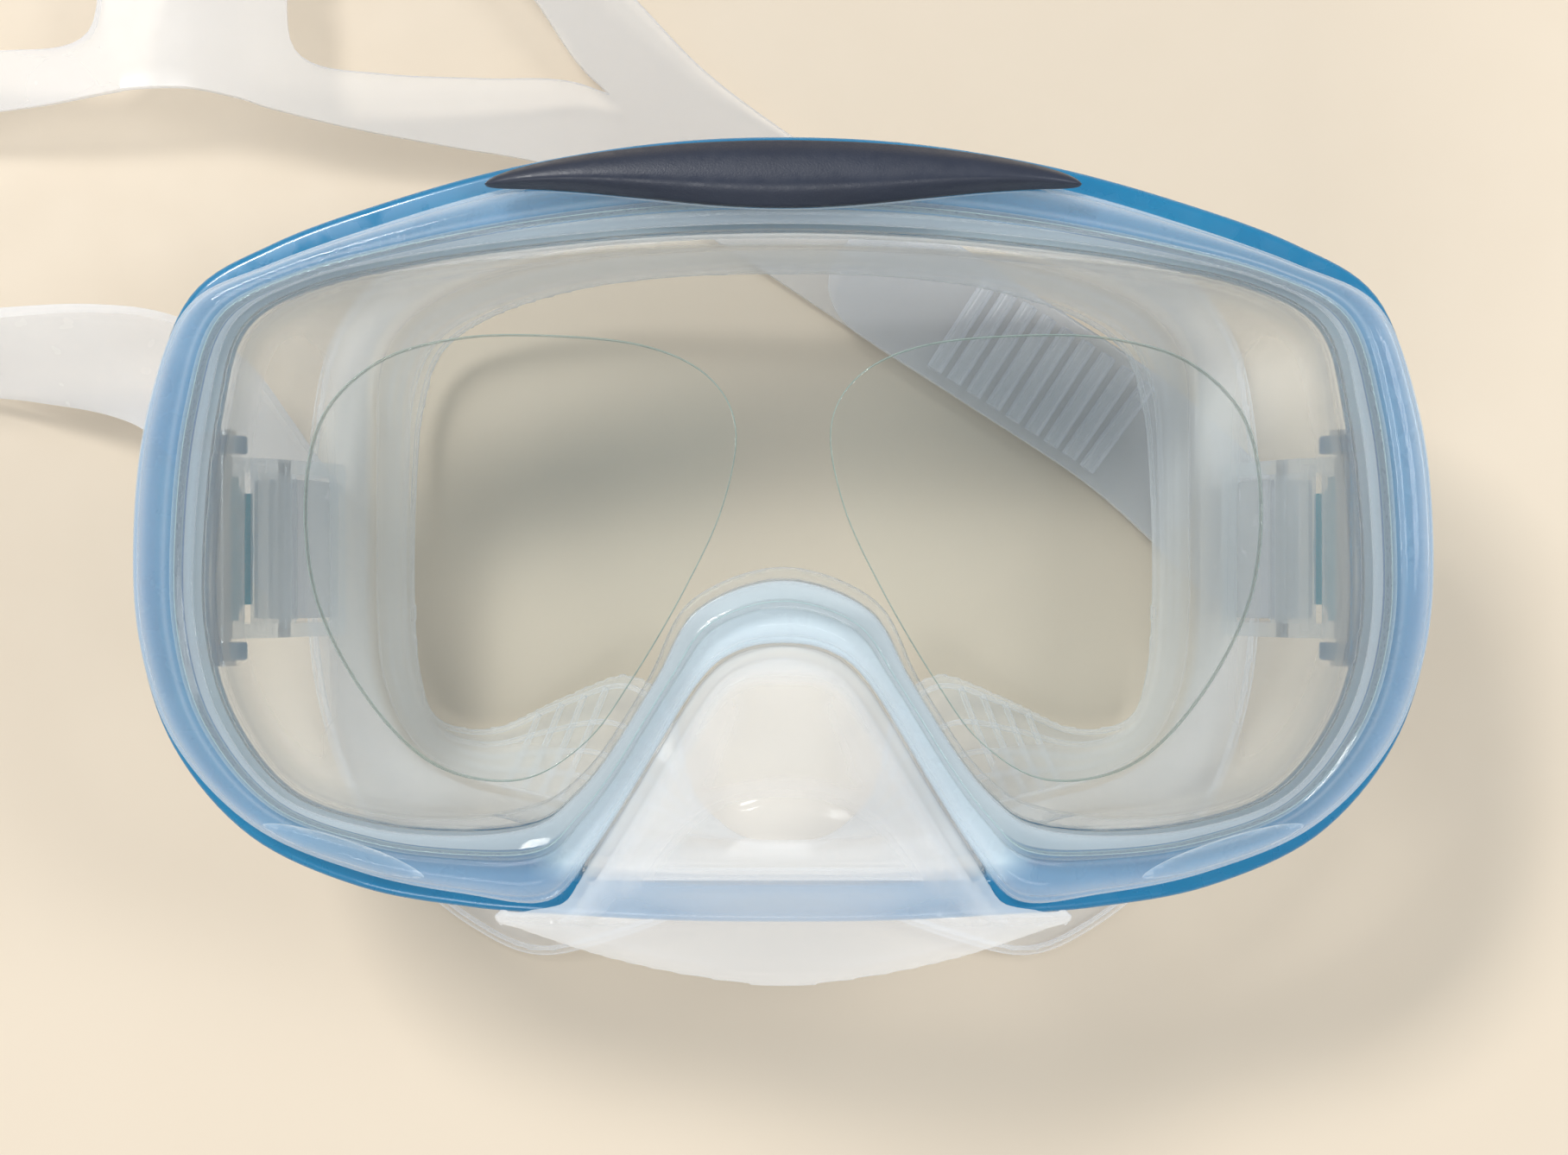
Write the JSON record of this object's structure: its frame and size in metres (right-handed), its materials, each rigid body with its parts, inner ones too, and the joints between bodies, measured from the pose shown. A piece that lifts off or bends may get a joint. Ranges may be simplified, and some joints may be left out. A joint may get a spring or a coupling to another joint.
{
  "type": "snorkel mask",
  "caption": "Snorkel mask with a notched lens and corrective inserts, clear bezel on a blue frame, silicone skirt with nose pocket, and split head strap on swivel buckles.",
  "frame": {"origin": "middle of the front face of the main lens", "axes": "+Z out of the lens, away from the face; +Y to the brow; +X to the right as seen from the front"},
  "size_m": [0.2466, 0.1829, 0.0827],
  "materials": {
    "frame_blue": "glossy, translucent",
    "bezel_clear": "glossy, clear",
    "trim_navy": "soft touch",
    "lens_glass": "polished",
    "corrective_glass": "polished",
    "skirt_silicone": "satin, translucent",
    "strap_silicone": "satin, translucent",
    "buckle_clear": "glossy, clear",
    "lever_blue": "glossy",
    "pin_steel": "polished pins"
  },
  "bodies": {
    "mask": {"frame": "frame_blue", "bezel": "bezel_clear", "brow_trim": "trim_navy", "lens": "lens_glass", "corrective_lens_left": "corrective_glass", "corrective_lens_right": "corrective_glass", "skirt": "skirt_silicone", "swing_pin_left": "pin_steel", "swing_pin_right": "pin_steel", "strap_rear": "strap_silicone", "strap_tail_right": "strap_silicone"},
    "buckle_left": {"buckle_body_left": "buckle_clear", "lever_pin_left": "pin_steel", "roller_axle_left": "pin_steel", "strap_loop_left": "strap_silicone"},
    "lever_left": {"release_lever_left": "lever_blue"},
    "roller_left": {"strap_roller_left": "buckle_clear"},
    "buckle_right": {"buckle_body_right": "buckle_clear", "lever_pin_right": "pin_steel", "roller_axle_right": "pin_steel", "strap_loop_right": "strap_silicone"},
    "lever_right": {"release_lever_right": "lever_blue"},
    "roller_right": {"strap_roller_right": "buckle_clear"}
  },
  "joints": [
    {"name": "buckle_swing_left", "type": "hinge", "parent": "mask", "child": "buckle_left", "pos_m": [-0.0785, -0.002, -0.0195], "axis": [0, 1, 0], "range_deg": [-3, 45]},
    {"name": "lever_lift_left", "type": "hinge", "parent": "buckle_left", "child": "lever_left", "pos_m": [-0.07974, -0.002, -0.02953], "axis": [0, 1, 0], "range_deg": [0, 12], "stiffness_Nm_per_rad": 0.1, "springref_deg": -2.86},
    {"name": "roller_spin_left", "type": "hinge", "parent": "buckle_left", "child": "roller_left", "pos_m": [-0.07269, -0.002, -0.03547], "axis": [0, 1, 0], "continuous": true},
    {"name": "buckle_swing_right", "type": "hinge", "parent": "mask", "child": "buckle_right", "pos_m": [0.0785, -0.002, -0.0195], "axis": [0, -1, 0], "range_deg": [-3, 45]},
    {"name": "lever_lift_right", "type": "hinge", "parent": "buckle_right", "child": "lever_right", "pos_m": [0.07974, -0.002, -0.02953], "axis": [0, -1, 0], "range_deg": [0, 12], "stiffness_Nm_per_rad": 0.1, "springref_deg": -2.86},
    {"name": "roller_spin_right", "type": "hinge", "parent": "buckle_right", "child": "roller_right", "pos_m": [0.07269, -0.002, -0.03547], "axis": [0, 1, 0], "continuous": true}
  ]
}
